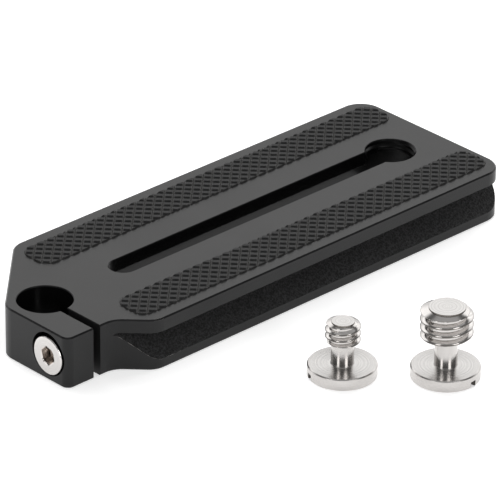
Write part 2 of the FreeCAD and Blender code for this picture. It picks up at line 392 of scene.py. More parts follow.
@dataclass(frozen=True)
class AnodisedFinish:
    """Black anodised aluminium: satin on the milled faces, painted lighter as painted light on those that look
    up, coarse and matt on the dovetail slopes.
    """

    name: str = "black_anodised"
    satin: Colour = (0.0080, 0.0080, 0.0083, 1.0)
    # Colour of the faces that look up: painted light, lighter than the satin sides.
    top: Colour = (0.0210, 0.0207, 0.0205, 1.0)
    top_lift: float = 0.95
    shade: Colour = (0.0025, 0.0025, 0.0026, 1.0)
    slope: Colour = (0.0260, 0.0260, 0.0268, 1.0)
    fleck: Colour = (0.16, 0.15, 0.14, 1.0)
    rubbed: Colour = (0.02, 0.02, 0.02, 1.0)
    bare: Colour = (0.52, 0.50, 0.48, 1.0)
    cloud_density: float = 70.0
    cloud_tones: Point = (0.3, 0.7)
    cloud_share: float = 1.25
    pit_share: float = 0.05
    satin_roughness: Point = (0.34, 0.42)
    slope_roughness: float = 0.72
    grain_size: float = 0.24
    slope_grain_size: float = 0.34
    grain_depth: float = 0.02
    slope_grain_depth: float = 0.3
    slope_top: float = 7.5
    slope_lean: float = 0.97
    dust_spacing: float = 2.6
    dust_share: float = 0.02
    chips: tuple[Box, ...] = (
        ((4.0, -20.0, 1.6), (16.5, -8.0, 7.2)),
        ((9.0, -20.0, 9.6), (10.9, -18.0, 10.1)),
    )
    cavities: tuple[Box, ...] = (
        ((12.0, -7.2, -1.0), (92.0, 7.2, 9.85)),
        ((-5.3, -5.3, -1.0), (5.3, 5.3, 9.7)),
    )
    cavity_roughness: float = 0.16
    slot_end: Point = (17.0, 21.5)
    channel_end: Point = (84.5, 88.0)
    break_low: float = 9.5
    break_margin: float = 0.1
    break_roughness: float = 0.12
    edge_reach: float = 0.14
    edge_round: float = 0.05
    gloss: float = 0.26

    def make(self, effects: Effects) -> Material:
        """Builds the material.

        Args:
            effects: The shared effects.

        Returns:
            The material.
        """
        coat = Coat(self.name)
        slope = self._slope_mask(coat)
        cavity = coat.boxes(self.cavities)
        fine = effects.place(coat, Effect.GRAIN, Size=self.grain_size * MM)
        coarse = effects.place(coat, Effect.GRAIN, Size=self.slope_grain_size * MM)
        edge = effects.place(coat, Effect.EDGE, Reach=self.edge_reach * MM)["Mask"]
        dust = effects.place(coat, Effect.DUST, Spacing=self.dust_spacing * MM, Share=self.dust_share)
        cloud = coat.noise(coat.place, self.cloud_density)

        clouded = coat.step(cloud, self.cloud_tones)
        satin = coat.mix(clouded, self.satin, shaded(self.satin, self.cloud_share))
        # Faces that look up take the lighter top colour: painted light.
        milled = coat.mix(coat.above(coat.lift, self.top_lift), satin, self.top)
        grained = coat.mix(coarse["Tone"], shaded(self.slope, self.pit_share), self.slope)
        colour = coat.mix(slope, milled, grained)
        colour = coat.mix(cavity, colour, self.shade)
        colour = coat.mix(edge, colour, self.rubbed)
        colour = coat.mix(coat.times(edge, coat.boxes(self.chips)), colour, self.bare)
        colour = coat.mix(dust["Mask"], colour, self.fleck)

        rough = coat.scale(cloud, self.satin_roughness)
        rough = coat.shift(slope, rough, self.slope_roughness)
        past_slot_end = coat.step(coat.across, self.slot_end, MM)
        between = coat.math("SUBTRACT", past_slot_end, coat.step(coat.across, self.channel_end, MM))
        in_bore = coat.below(coat.across, self.cavities[1][1][0] * MM)
        smooth = coat.times(cavity, coat.either(between, in_bore))
        rough = coat.shift(smooth, rough, self.cavity_roughness)
        rough = coat.shift(self._break_mask(coat), rough, self.break_roughness)

        fine_depth = coat.times(fine["Height"], self.grain_depth * MM)
        coarse_depth = coat.times(coarse["Height"], self.slope_grain_depth * MM)
        relief = coat.shift(slope, fine_depth, coarse_depth)
        feeds = {"Base Color": colour, "Roughness": rough, "Specular IOR Level": self.gloss}
        return coat.finish(relief, feeds, coat.rounded(self.edge_round * MM))

    def _break_mask(self, coat: Coat) -> Socket:
        """Mask of the chamfers round the top face."""
        off = coat.size(coat.math("SUBTRACT", coat.lift, math.sqrt(0.5)))
        return coat.times(coat.below(off, self.break_margin), coat.above(coat.height, self.break_low * MM))

    def _slope_mask(self, coat: Coat) -> Socket:
        """Mask of the slanted faces of both dovetail grooves."""
        lean = coat.times(coat.math("ADD", coat.size(coat.sideways), coat.lift), math.sqrt(0.5))
        return coat.times(coat.above(lean, self.slope_lean), coat.below(coat.height, self.slope_top * MM))


@dataclass(frozen=True)
class RubberFinish:
    """Moulded black rubber, matt, with its stud tops rubbed a little smoother, a few dust flecks, and painted
    light on the gaps between the studs, their slopes and the side walls.
    """

    deep: Colour = (0.006, 0.006, 0.0062, 1.0)
    top: Colour = (0.011, 0.011, 0.0112, 1.0)
    fleck: Colour = (0.22, 0.21, 0.19, 1.0)
    # Painted light: a lighter colour on the gaps between the studs and the slopes beside them.
    painted_gap_light: Colour = (0.060, 0.059, 0.058, 1.0)
    # Painted light: upright side walls get a lighter colour than the rubber.
    side: Colour = (0.04, 0.0395, 0.039, 1.0)
    side_lift: float = 0.2
    roughness: Point = (0.66, 0.5)
    wear_density: float = 120.0
    wear: Point = (0.55, 1.25)
    grain_size: float = 0.12
    grain_depth: float = 0.012
    dust_spacing: float = 1.7
    dust_share: float = 0.05
    stud_heights: Point = (10.0, 10.3)
    edge_round: float = 0.05
    row_angle: float = -46.5
    stud_pitch: float = 1.66
    strip_middle: float = 51.7
    strip_offset: float = 12.65
    flank_lean: float = 0.7
    gap_reach: Point = (0.1, 0.22)
    gap_lift: Point = (0.3, 0.95)
    gloss: float = 0.23

    def make(self, effects: Effects) -> Material:
        """Builds the material.

        Args:
            effects: The shared effects.

        Returns:
            The material.
        """
        coat = Coat("grip_rubber")
        grain = effects.place(coat, Effect.GRAIN, Size=self.grain_size * MM)
        dust = effects.place(coat, Effect.DUST, Spacing=self.dust_spacing * MM, Share=self.dust_share)
        raised = coat.step(coat.height, self.stud_heights, MM)
        wear_and_painted_edges = coat.times(raised, coat.scale(coat.noise(coat.place, self.wear_density), self.wear))

        colour = coat.mix(wear_and_painted_edges, self.deep, self.top)
        # Painted light on the gaps between the studs and on the slopes beside them.
        colour = coat.mix(self._painted_gap_light_mask(coat), colour, self.painted_gap_light)
        # Upright side walls take the lighter side colour: painted light.
        colour = coat.mix(coat.below(coat.size(coat.lift), self.side_lift), colour, self.side)
        colour = coat.mix(dust["Mask"], colour, self.fleck)
        rough = coat.scale(wear_and_painted_edges, self.roughness)
        relief = coat.times(grain["Height"], self.grain_depth * MM)
        feeds = {"Base Color": colour, "Roughness": rough, "Specular IOR Level": self.gloss}
        return coat.finish(relief, feeds, coat.rounded(self.edge_round * MM))

    def _painted_gap_light_mask(self, coat: Coat) -> Socket:
        """Mask of painted light: the gaps between the studs of a row and the slopes beside them, which are
        painted lighter than the rubber.

        Args:
            coat: The material.

        Returns:
            The mask.
        """
        turn = math.radians(self.row_angle)
        row = (math.cos(turn), math.sin(turn), 0.0)
        flank = coat.above(coat.size(coat.dot(coat.faces, row)), self.flank_lean)

        middle = coat.times(coat.math("SIGN", coat.along), self.strip_offset * MM)
        first = coat.times(coat.math("SUBTRACT", coat.across, self.strip_middle * MM), row[0])
        second = coat.times(coat.math("SUBTRACT", coat.along, middle), row[1])
        studs = coat.math("DIVIDE", coat.math("ADD", first, second), self.stud_pitch * MM)
        share = coat.math("FRACT", coat.math("ADD", studs, 0.5))
        off = coat.size(coat.math("SUBTRACT", share, 0.5))
        beside = coat.without(coat.step(off, self.gap_reach))

        low, high = self.gap_lift
        beside = coat.times(beside, coat.below(coat.lift, high))
        return coat.times(coat.either(flank, beside), coat.above(coat.lift, low))


@dataclass(frozen=True)
class SteelFinish:
    """Bare stainless steel with the rings that turning leaves.

    Attributes:
        face: Colour of the flat faces that look up; on the turned screws it is darker than light, as painted
            shade.
        roughness: At the dull and at the bright rings.
        rim: Painted edge lines: colour of the edges below step_height and of the upright walls above it, dark
            painted shade on the turned screws and light painted highlight on the cap screw.
        rim_height: Height above which the thread's crests, outside crest_radius, have that colour too.
        fine_share: Share of the roughness above rim_height.
        feed: Spacing of the rings.
        stretch: How far the rings draw the gloss out across them.
        notch: Angle in degrees, width and depth of the coin slot, if there is one.
        hollow: Colour inside the drive recess, within hollow_radius and deeper than hollow_mouth: a painted
            reflection.
        hollow_depths: Between which depths that turns to the darker painted shade, which also lies on its
            edges.
    """

    name: str
    light: Colour
    dull: Colour
    face: Colour
    roughness: Point
    rim: Colour
    depth: float
    stretch: float
    feed: float = 0.16
    rim_height: float = 100.0
    crest_radius: float = 100.0
    step_height: float = 100.0
    notch: Place = (0.0, 0.0, 0.0)
    notch_margin: float = 0.02
    notch_shade: Colour = (0.09, 0.082, 0.075, 1.0)
    fine_share: float = 1.0
    ring_share: float = 0.8
    face_lift: float = 0.97
    wall_lift: float = 0.8
    edge_reach: float = 0.16
    hollow: Colour = (0.64, 0.60, 0.57, 1.0)
    painted_recess_shade: Colour = (0.38, 0.34, 0.31, 1.0)
    hollow_radius: float = 0.0
    hollow_mouth: float = 0.05
    hollow_depths: Point = (0.2, 1.9)
    stain_density: float = 500.0
    stains: Point = (0.8, 1.25)
    turn: float = 0.25

    def make(self, effects: Effects) -> Material:
        """Builds the material.

        Args:
            effects: The shared effects.

        Returns:
            The material.
        """
        coat = Coat(self.name)
        marks = effects.place(coat, Effect.TURNED, Feed=self.feed * MM)
        edge = effects.place(coat, Effect.EDGE, Reach=self.edge_reach * MM)["Mask"]
        reach = coat.radius(coat.place)
        high = coat.without(coat.below(coat.height, self.rim_height * MM))
        crest = coat.times(coat.above(reach, self.crest_radius * MM), high)
        stepped = coat.above(coat.height, self.step_height * MM)
        wall = coat.times(stepped, coat.below(coat.lift, self.wall_lift))
        # Edges, crests and upright walls take the rim colour, a painted edge line: dark painted shade on the
        # turned screws, light painted highlight on the cap screw.
        wear_and_painted_edges = coat.times(edge, coat.without(stepped))

        colour = coat.mix(marks["Tone"], self.dull, self.light)
        # Flat faces that look up take the face colour with its rings: on the turned screws a darker painted
        # shade.
        ringed = coat.mix(marks["Tone"], shaded(self.face, self.ring_share), self.face)
        colour = coat.mix(coat.above(coat.lift, self.face_lift), colour, ringed)
        colour = coat.mix(coat.either(coat.either(wall, crest), wear_and_painted_edges), colour, self.rim)
        if any(self.notch):
            colour = coat.mix(self._notch_mask(coat), colour, self.notch_shade)
        # Painted reflection and painted shade in the drive recess: the hollow colour, darker with depth and at
        # its edges.
        hollow = coat.below(reach, self.hollow_radius * MM)
        hollow = coat.times(hollow, coat.above(coat.height, self.hollow_mouth * MM))
        deep = coat.either(edge, coat.step(coat.height, self.hollow_depths, MM))
        colour = coat.mix(hollow, colour, coat.mix(deep, self.hollow, self.painted_recess_shade))

        stain = coat.noise(coat.place, self.stain_density)
        rough = coat.scale(marks["Tone"], self.roughness)
        rough = coat.times(rough, coat.scale(stain, self.stains))
        rough = coat.times(rough, coat.shift(high, 1.0, self.fine_share))
        feeds = {
            "Base Color": colour,
            "Roughness": rough,
            "Tangent": coat.add("Tangent", direction_type="RADIAL", axis="Z").outputs[0],
            "Metallic": 1.0,
            "Anisotropic": self.stretch,
            "Anisotropic Rotation": self.turn,
        }
        return coat.finish(coat.times(marks["Height"], self.depth * MM), feeds)

    def _notch_mask(self, coat: Coat) -> Socket:
        """Mask of the faces inside the coin slot.

        Args:
            coat: The material.

        Returns:
            The mask.
        """
        angle, width, depth = self.notch
        across = (-math.sin(math.radians(angle)), math.cos(math.radians(angle)), 0.0)
        off = coat.size(coat.dot(coat.place, across))
        near = coat.below(off, (width / 2 + self.notch_margin) * MM)
        return coat.times(near, coat.below(coat.height, (depth + self.notch_margin) * MM))


TURNED_STEEL = SteelFinish(
    name="stainless_turned",
    light=(0.61, 0.59, 0.575, 1.0),
    dull=(0.51, 0.49, 0.475, 1.0),
    # face is painted shade on the faces that look up, darker than light.
    face=(0.50, 0.487, 0.475, 1.0),
    roughness=(0.3, 0.16),
    # rim is a dark painted edge line: painted shade on crests, edges and step walls.
    rim=(0.20, 0.185, 0.17, 1.0),
    depth=0.0016,
    stretch=0.5,
    rim_height=2.6,
    fine_share=0.6,
)
CAP_STEEL = SteelFinish(
    name="stainless_cap",
    light=(0.66, 0.64, 0.625, 1.0),
    dull=(0.57, 0.55, 0.535, 1.0),
    face=(0.66, 0.64, 0.625, 1.0),
    roughness=(0.22, 0.13),
    # rim is a light painted highlight on the head's edges.
    rim=(0.80, 0.78, 0.765, 1.0),
    depth=0.001,
    stretch=0.0,
    hollow_radius=1.76,
)


@dataclass(frozen=True)
class FloorFinish:
    """Pale floor that goes white in the picture and keeps a soft shadow."""

    colour: Colour = (0.84, 0.84, 0.84, 1.0)
    seen_glow: float = 0.475
    mirrored_glow: float = 0.49
    channel_low: Point = (12.0, -9.0)
    channel_high: Point = (94.0, 9.0)
    painted_light_low: Point = (17.0, 0.4)
    painted_light_high: Point = (88.0, 2.6)
    painted_light_share: float = 2.4
    bore_radius: float = 6.0

    def make(self) -> Material:
        """Builds the material.

        Returns:
            The material.
        """
        material = bpy.data.materials.new("pale_floor")
        wiring = Wiring(emptied(material))
        path = wiring.add("LightPath").outputs
        mirrored = wiring.either(path["Is Glossy Ray"], path["Is Transmission Ray"])
        seen = wiring.times(path["Is Camera Ray"], self.seen_glow)
        glow = wiring.either(seen, wiring.times(mirrored, self.mirrored_glow))
        # Little of the room's light reaches the floor in the bore and beside the slot, so the glow is taken
        # out there as painted shade, and a strip under the slot glows brighter as a painted pool of light.
        place = wiring.add("NewGeometry").outputs["Position"]
        bore = wiring.below(wiring.radius(place), self.bore_radius * MM)
        channel = wiring.inside(place, self.channel_low, self.channel_high)
        clear = wiring.without(wiring.either(channel, bore))
        slot = wiring.times(wiring.inside(place, self.painted_light_low, self.painted_light_high), self.painted_light_share)
        glow = wiring.times(glow, wiring.math("ADD", clear, slot))
        matt = wiring.add("BsdfDiffuse", {"Color": self.colour}).outputs[0]
        lit = wiring.add("Emission", {"Color": WHITE, "Strength": glow}).outputs[0]
        wiring.add("OutputMaterial", {"Surface": wiring.add("AddShader", {0: matt, 1: lit}).outputs[0]})
        return material


# Meshes.


def rounded_outline(corners: Sequence[Place], steps: int = 4) -> list[Point]:
    """Outline with each corner rounded.

    Args:
        corners: Radius, height and rounding of each corner, with plain ends.
        steps: Straight pieces in each rounding.

    Returns:
        Radius and height of each point.
    """
    outline: list[Point] = []
    last = len(corners) - 1
    for index, (across, height, rounding) in enumerate(corners):
        here = Vector((across, height))
        if rounding == 0 or index in (0, last):
            outline.append((across, height))
            continue
        back = Vector(corners[index - 1][:2]) - here
        onward = Vector(corners[index + 1][:2]) - here
        half = back.angle(onward) / 2
        reach = min(rounding / math.tan(half), CORNER_SHARE * min(back.length, onward.length))
        start = here + back.normalized() * reach
        end = here + onward.normalized() * reach
        for step in range(steps + 1):
            share = step / steps
            point = start.lerp(here, share).lerp(here.lerp(end, share), share)
            outline.append((point.x, point.y))
    return outline


@dataclass(frozen=True)
class ThreadForm:
    """Sixty degree screw thread, right-handed."""

    major_radius: float
    pitch: float
    depth_share: float = 0.55
    crest_shares: tuple[float, ...] = (0.012, 0.035, 0.06, 0.09, 0.13, 0.18, 0.25)
    foot_share: float = 0.375
    root_shares: tuple[float, ...] = (0.45, 0.55)

    @property
    def minor_radius(self) -> float:
        """Radius at the bottom of the thread."""
        return self.major_radius - self.depth_share * self.pitch

    def drop(self, share: float) -> float:
        """Depth below the crest at a share of the pitch beside it.

        Args:
            share: Distance from the middle of the crest, as a share of the pitch.

        Returns:
            The depth: a rounded crest, then a straight flank down to the root.
        """
        rounded = self.crest_shares[-1]
        full = self.depth_share * self.pitch
        slope = full / (self.foot_share - rounded / 2)
        if share < rounded:
            return slope * share**2 / (2 * rounded)
        return min(slope * (share - rounded / 2), full)

    def section(self) -> list[Point]:
        """Section of one turn, from crest to crest.

        Returns:
            Share of the pitch and radius of each point.
        """
        shares = [-share for share in reversed(self.crest_shares)]
        shares += [*self.crest_shares, self.foot_share, *self.root_shares, 1 - self.foot_share]
        return [(share, self.major_radius - self.drop(min(abs(share), 1 - share))) for share in shares]


@dataclass
class TurnedSkin:
    """Rings of points round the Z axis, joined into one closed skin, with a number of columns in each."""

    columns: int
    points: list[Place] = field(default_factory=list)
    faces: list[tuple[int, ...]] = field(default_factory=list)

    def angle(self, column: int) -> float:
        """Angle of a column round the axis."""
        return FULL_TURN * column / self.columns

    def point(self, radius: float, column: int, height: float) -> int:
        """Adds one point.

        Args:
            radius: Its distance from the axis.
            column: Its column.
            height: Its height.

        Returns:
            Its number.
        """
        angle = self.angle(column)
        self.points.append((radius * math.cos(angle), radius * math.sin(angle), height))
        return len(self.points) - 1

    def ring(self, radius: Radius, height: float) -> list[int]:
        """Adds a ring.

        Args:
            radius: Its radius, or a function that gives the radius at an angle.
            height: Its height.

        Returns:
            The numbers of its points.
        """
        made = []
        for column in range(self.columns):
            reach = radius(self.angle(column)) if callable(radius) else radius
            made.append(self.point(reach, column, height))
        return made

    def band(self, first: Sequence[int], second: Sequence[int]) -> None:
        """Joins two rings with a band of faces.

        Args:
            first: Point numbers of one ring.
            second: Point numbers of the other.
        """
        for column in range(self.columns):
            onward = (column + 1) % self.columns
            self.faces.append((first[column], first[onward], second[onward], second[column]))

    def lathe(self, outline: Sequence[tuple[Radius, float]]) -> tuple[list[int], list[int]]:
        """Adds rings along an outline and joins them.

        Args:
            outline: Radius and height of each ring.

        Returns:
            The first and the last ring.
        """
        rings = [self.ring(radius, height) for radius, height in outline]
        for first, second in zip(rings, rings[1:]):
            self.band(first, second)
        return rings[0], rings[-1]

    def cap(self, ring: Sequence[int], height: float) -> None:
        """Closes a ring towards a point on the axis.

        Args:
            ring: Point numbers of the ring.
            height: Height of the point.
        """
        middle = self.point(0.0, 0, height)
        for column in range(self.columns):
            self.faces.append((ring[column], ring[(column + 1) % self.columns], middle))

    def thread(
        self,
        form: ThreadForm,
        low: float,
        high: float,
        end_radius: tuple[float, float],
        end_slope: float = 1.0,
        start: float = 0.0,
    ) -> None:
        """Adds a helical thread whose ends run out on cones.

        Args:
            form: The thread.
            low: Height of its lower end.
            high: Height of its upper end.
            end_radius: Radius at the lower and at the upper end, not above the thread's minor radius.
            end_slope: Growth of the radius with the distance from an end.
            start: Where the thread starts, as a share of a turn.
        """
        section = form.section()
        turns = math.ceil((high - low) / form.pitch) + THREAD_SPARE + 1
        rows = []
        for turn in range(turns):
            for share, reach in section:
                row = []
                for column in range(self.columns):
                    raw = low + form.pitch * (turn - THREAD_LEAD + start + share + column / self.columns)
                    height = min(max(raw, low), high)
                    from_low = end_radius[0] + end_slope * (height - low)
                    from_high = end_radius[1] + end_slope * (high - height)
                    row.append(self.point(min(reach, from_low, from_high), column, height))
                rows.append(row)
        last = self.columns - 1
        per_turn = len(section)
        for index in range(len(rows) - 1):
            first, second = rows[index], rows[index + 1]
            for column in range(last):
                self.faces.append((first[column], first[column + 1], second[column + 1], second[column]))
            if index + 1 + per_turn < len(rows):
                after, beyond = rows[index + per_turn], rows[index + 1 + per_turn]
                self.faces.append((first[last], after[0], beyond[0], second[last]))


def mesh_piece(
    name: str, points: Sequence[Place], faces: Sequence[tuple[int, ...]], sharp: float = 32.0
) -> Piece:
    """Makes a welded, smooth shaded mesh object.

    Args:
        name: Name of the piece.
        points: Points in millimetres.
        faces: Faces as point numbers.
        sharp: Edges that turn by more than this many degrees stay crisp.

    Returns:
        The object, linked to the scene.
    """
    mesh = bpy.data.meshes.new(name)
    mesh.from_pydata([Vector(point) * MM for point in points], [], faces)
    work = bmesh.new()
    work.from_mesh(mesh)
    bmesh.ops.remove_doubles(work, verts=work.verts, dist=WELD * MM)
    bmesh.ops.dissolve_degenerate(work, edges=work.edges, dist=SLIVER * MM)
    bmesh.ops.recalc_face_normals(work, faces=work.faces)
    work.to_mesh(mesh)
    work.free()
    smooth(mesh, sharp)
    piece = bpy.data.objects.new(name, mesh)
    bpy.context.scene.collection.objects.link(piece)
    return piece


def smooth(mesh: bpy.types.Mesh, sharp: float) -> None:
    """Shades a mesh smooth apart from its crisp edges."""
    mesh.shade_smooth()
    mesh.set_sharp_from_angle(angle=math.radians(sharp))


def cut_away(piece: Piece, cutter: Piece, sharp: float) -> None:
    """Cuts one mesh out of another and deletes the cutter.

    Args:
        piece: The piece that is cut.
        cutter: What is cut out of it.
        sharp: Edges that turn by more than this many degrees stay crisp.
    """
    trim = piece.modifiers.new("cut", "BOOLEAN")
    trim.operation = "DIFFERENCE"
    trim.solver = "EXACT"
    trim.object = cutter
    state = bpy.context.evaluated_depsgraph_get()
    mesh = bpy.data.meshes.new_from_object(piece.evaluated_get(state))
    piece.modifiers.clear()
    piece.data = mesh
    bpy.data.objects.remove(cutter)
    smooth(mesh, sharp)


def dress(piece: Piece, material: Material) -> None:
    """Gives a piece one material in all its slots and logs its name and count of faces.

    Args:
        piece: The piece.
        material: The material.
    """
    if not piece.data.materials:
        piece.data.materials.append(material)
    for slot in piece.material_slots:
        slot.material = material
    LOG.info("%s: %d faces", piece.name, len(piece.data.polygons))


# The object, one class for each sub-assembly.


@dataclass
class DovetailPlate:
    """The milled plate, with the thread in its keyhole."""

    node: str = "plate_body"
    body: str = "plate"
    slot: str = "black_anodised"
    keyhole_x: float = 85.3
    keyhole_radius: float = 4.775
    slot_half_width: float = 2.7
    lip_low: float = 7.4
    lip_high: float = 9.9
    thread_pitch: float = 1.5875
    thread_depth: float = 0.45
    # Colour of the keyhole's thread: painted shade, darker than the plate.
    painted_thread_shade: Colour = (0.003, 0.003, 0.003, 1.0)
    thread_gloss: float = 0.1
    sunk: float = 0.05
    slot_margin: float = 3.0
    columns: int = 120

    def build(self) -> Piece:
        """Builds the keyhole's thread, which stops at the slot.

        Returns:
            The thread, as a piece of its own in the keyhole's wall.
        """
        form = ThreadForm(self.keyhole_radius, self.thread_pitch)
        wall = self.keyhole_radius + self.sunk
        opening = math.asin(self.slot_half_width / self.keyhole_radius) + math.radians(self.slot_margin)
        start = opening - math.pi
        sweep = FULL_TURN - 2 * opening
        turns = math.ceil((self.lip_high - self.lip_low) / self.thread_pitch) + THREAD_SPARE
        points: list[Place] = []
        for column in range(self.columns + 1):
            angle = start + sweep * column / self.columns
            loop = []
            for turn in range(turns):
                for share, reach in form.section():
                    fall = (form.major_radius - reach) / (form.major_radius - form.minor_radius)
                    raw = self.lip_low + form.pitch * (turn - THREAD_LEAD + share + angle / FULL_TURN)
                    height = min(max(raw, self.lip_low), self.lip_high)
                    inner = self.keyhole_radius - self.thread_depth * (1 - fall)
                    limit = wall - min(height - self.lip_low, self.lip_high - height)
                    loop.append((max(inner, limit), height))
            loop.append((wall + self.sunk, self.lip_high))
            loop.append((wall + self.sunk, self.lip_low))
            for reach, height in loop:
                points.append((self.keyhole_x + reach * math.cos(angle), reach * math.sin(angle), height))
        count = len(points) // (self.columns + 1)
        faces: list[tuple[int, ...]] = []
        for column in range(self.columns):
            here = column * count
            for index in range(count):
                after = (index + 1) % count
                faces.append((here + index, here + after, here + count + after, here + count + index))
        faces.append(tuple(range(count)))
        faces.append(tuple(range(self.columns * count, (self.columns + 1) * count)))
        thread = mesh_piece("keyhole_thread", points, faces)
        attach(thread, self.body)
        return thread

    def dress(self, finish: AnodisedFinish, effects: Effects) -> None:
        """Gives the plate the anodised finish and its thread a darker, duller copy of it, painted shade in the
        keyhole.

        Args:
            finish: The plate's finish.
            effects: The shared effects.
        """
        dress(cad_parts[self.node], finish.make(effects))
        looks = {"satin": self.painted_thread_shade, "top": self.painted_thread_shade, "gloss": self.thread_gloss}
        dress(self.build(), replace(finish, name=finish.name + "_thread", **looks).make(effects))


@dataclass
class GripStrips:
    """The two rubber strips with their studs."""

    nodes: tuple[str, ...] = ("grip_strip_far", "grip_strip_near")

    def dress(self, material: Material) -> None:
        """Gives both strips the rubber finish."""
        for node in self.nodes:
            dress(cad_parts[node], material)


@dataclass
class ClampScrew:
    """The cap screw of the clamp nose, with a knurled head and a hexagonal recess."""

    node: str = "clamp_screw"
    body: str = "clamp_screw"
    slot: str = "stainless_cap"
    head_radius: float = 3.6
    head_height: float = 4.0
    head_round: float = 0.4
    teeth: int = 60
    tooth_depth: float = 0.13
    tooth_low: float = 0.42
    tooth_high: float = 3.5
    recess_flats: float = 3.0
    recess_depth: float = 2.0
    recess_turn: float = -15.0
    recess_mouth: float = 1.86
    mouth_depth: float = 0.16
    drill_depth: float = 0.75
    drill_point: Point = (0.25, 0.15)
    foot_break: Point = (0.14, 0.12)
    slack: float = 0.05
    relief: float = 0.02
    undercut: float = 0.6
    ring_step: float = 0.3
    rim_guides: Point = (0.2, 0.8)
    tooth_runouts: Point = (0.12, 0.15)
    thread: ThreadForm = ThreadForm(2.0, 0.7)
    length: float = 12.0
    tip_radius: float = 1.45
    sharp: float = 28.0
    columns: int = 240

    def hexagon(self, angle: float) -> float:
        """Radius of the recess at an angle."""
        from_corner = (angle - math.radians(self.recess_turn)) % SIXTH_TURN
        return self.recess_flats / 2 / math.cos(from_corner - SIXTH_TURN / 2)

    def knurl(self, angle: float) -> float:
        """Radius of the head's knurled side at an angle."""
        tooth = angle * self.teeth / FULL_TURN % 1
        return self.head_radius - self.tooth_depth * (1 - abs(2 * tooth - 1))

    def build(self) -> Piece:
        """Builds the screw in its place in the nose.

        Returns:
            The screw.
        """
        low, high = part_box(self.node)
        skin = TurnedSkin(self.columns)
        rim = self.head_radius - self.head_round
        foot = self.head_height
        neck = self.thread.minor_radius - self.slack
        plain = self.head_radius - self.relief
        recess_end = self.recess_depth + self.drill_depth
        outline: list[tuple[Radius, float]] = [
            (self.drill_point[0], recess_end - self.drill_point[1]),
            (self.recess_flats / 2 - self.slack, self.recess_depth),
            (self.hexagon, self.recess_depth),
            (self.hexagon, self.ring_step),
            (self.hexagon, self.mouth_depth),
            (self.recess_mouth, 0.0),
            (self.recess_mouth + self.ring_step, 0.0),
            ((self.recess_mouth + rim) / 2, 0.0),
        ]
        corner = (self.head_radius, 0, self.head_round)
        inward, down = self.rim_guides
        outline += rounded_outline([(rim - inward, 0, 0), corner, (self.head_radius, down, 0)])[:-1]
        outline += [
            (self.knurl, self.tooth_low + self.tooth_runouts[0]),
            (self.knurl, self.tooth_high),
            (plain, self.tooth_high + self.tooth_runouts[1]),
            (plain, foot - self.foot_break[1]),
            (self.head_radius - self.foot_break[0], foot),
            (neck, foot),
        ]
        first, last = skin.lathe(outline)
        skin.cap(first, recess_end)
        start = foot + self.undercut
        skin.band(last, skin.ring(neck, start))
        skin.thread(self.thread, start, foot + self.length, (neck, self.tip_radius))
        skin.cap(skin.ring(self.tip_radius, foot + self.length), foot + self.length)
        screw = mesh_piece("clamp_screw_steel", skin.points, skin.faces, self.sharp)
        axes = Matrix(((0, 0, 1), (0, -1, 0), (1, 0, 0))).to_4x4()
        middle = (low + high) / 2
        screw.matrix_world = Matrix.Translation((low.x, middle.y, middle.z)) @ axes
        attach(screw, self.body)
        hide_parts(self.node)
        return screw

    def dress(self, material: Material) -> None:
        """Builds the screw and gives it its finish."""
        dress(self.build(), material)


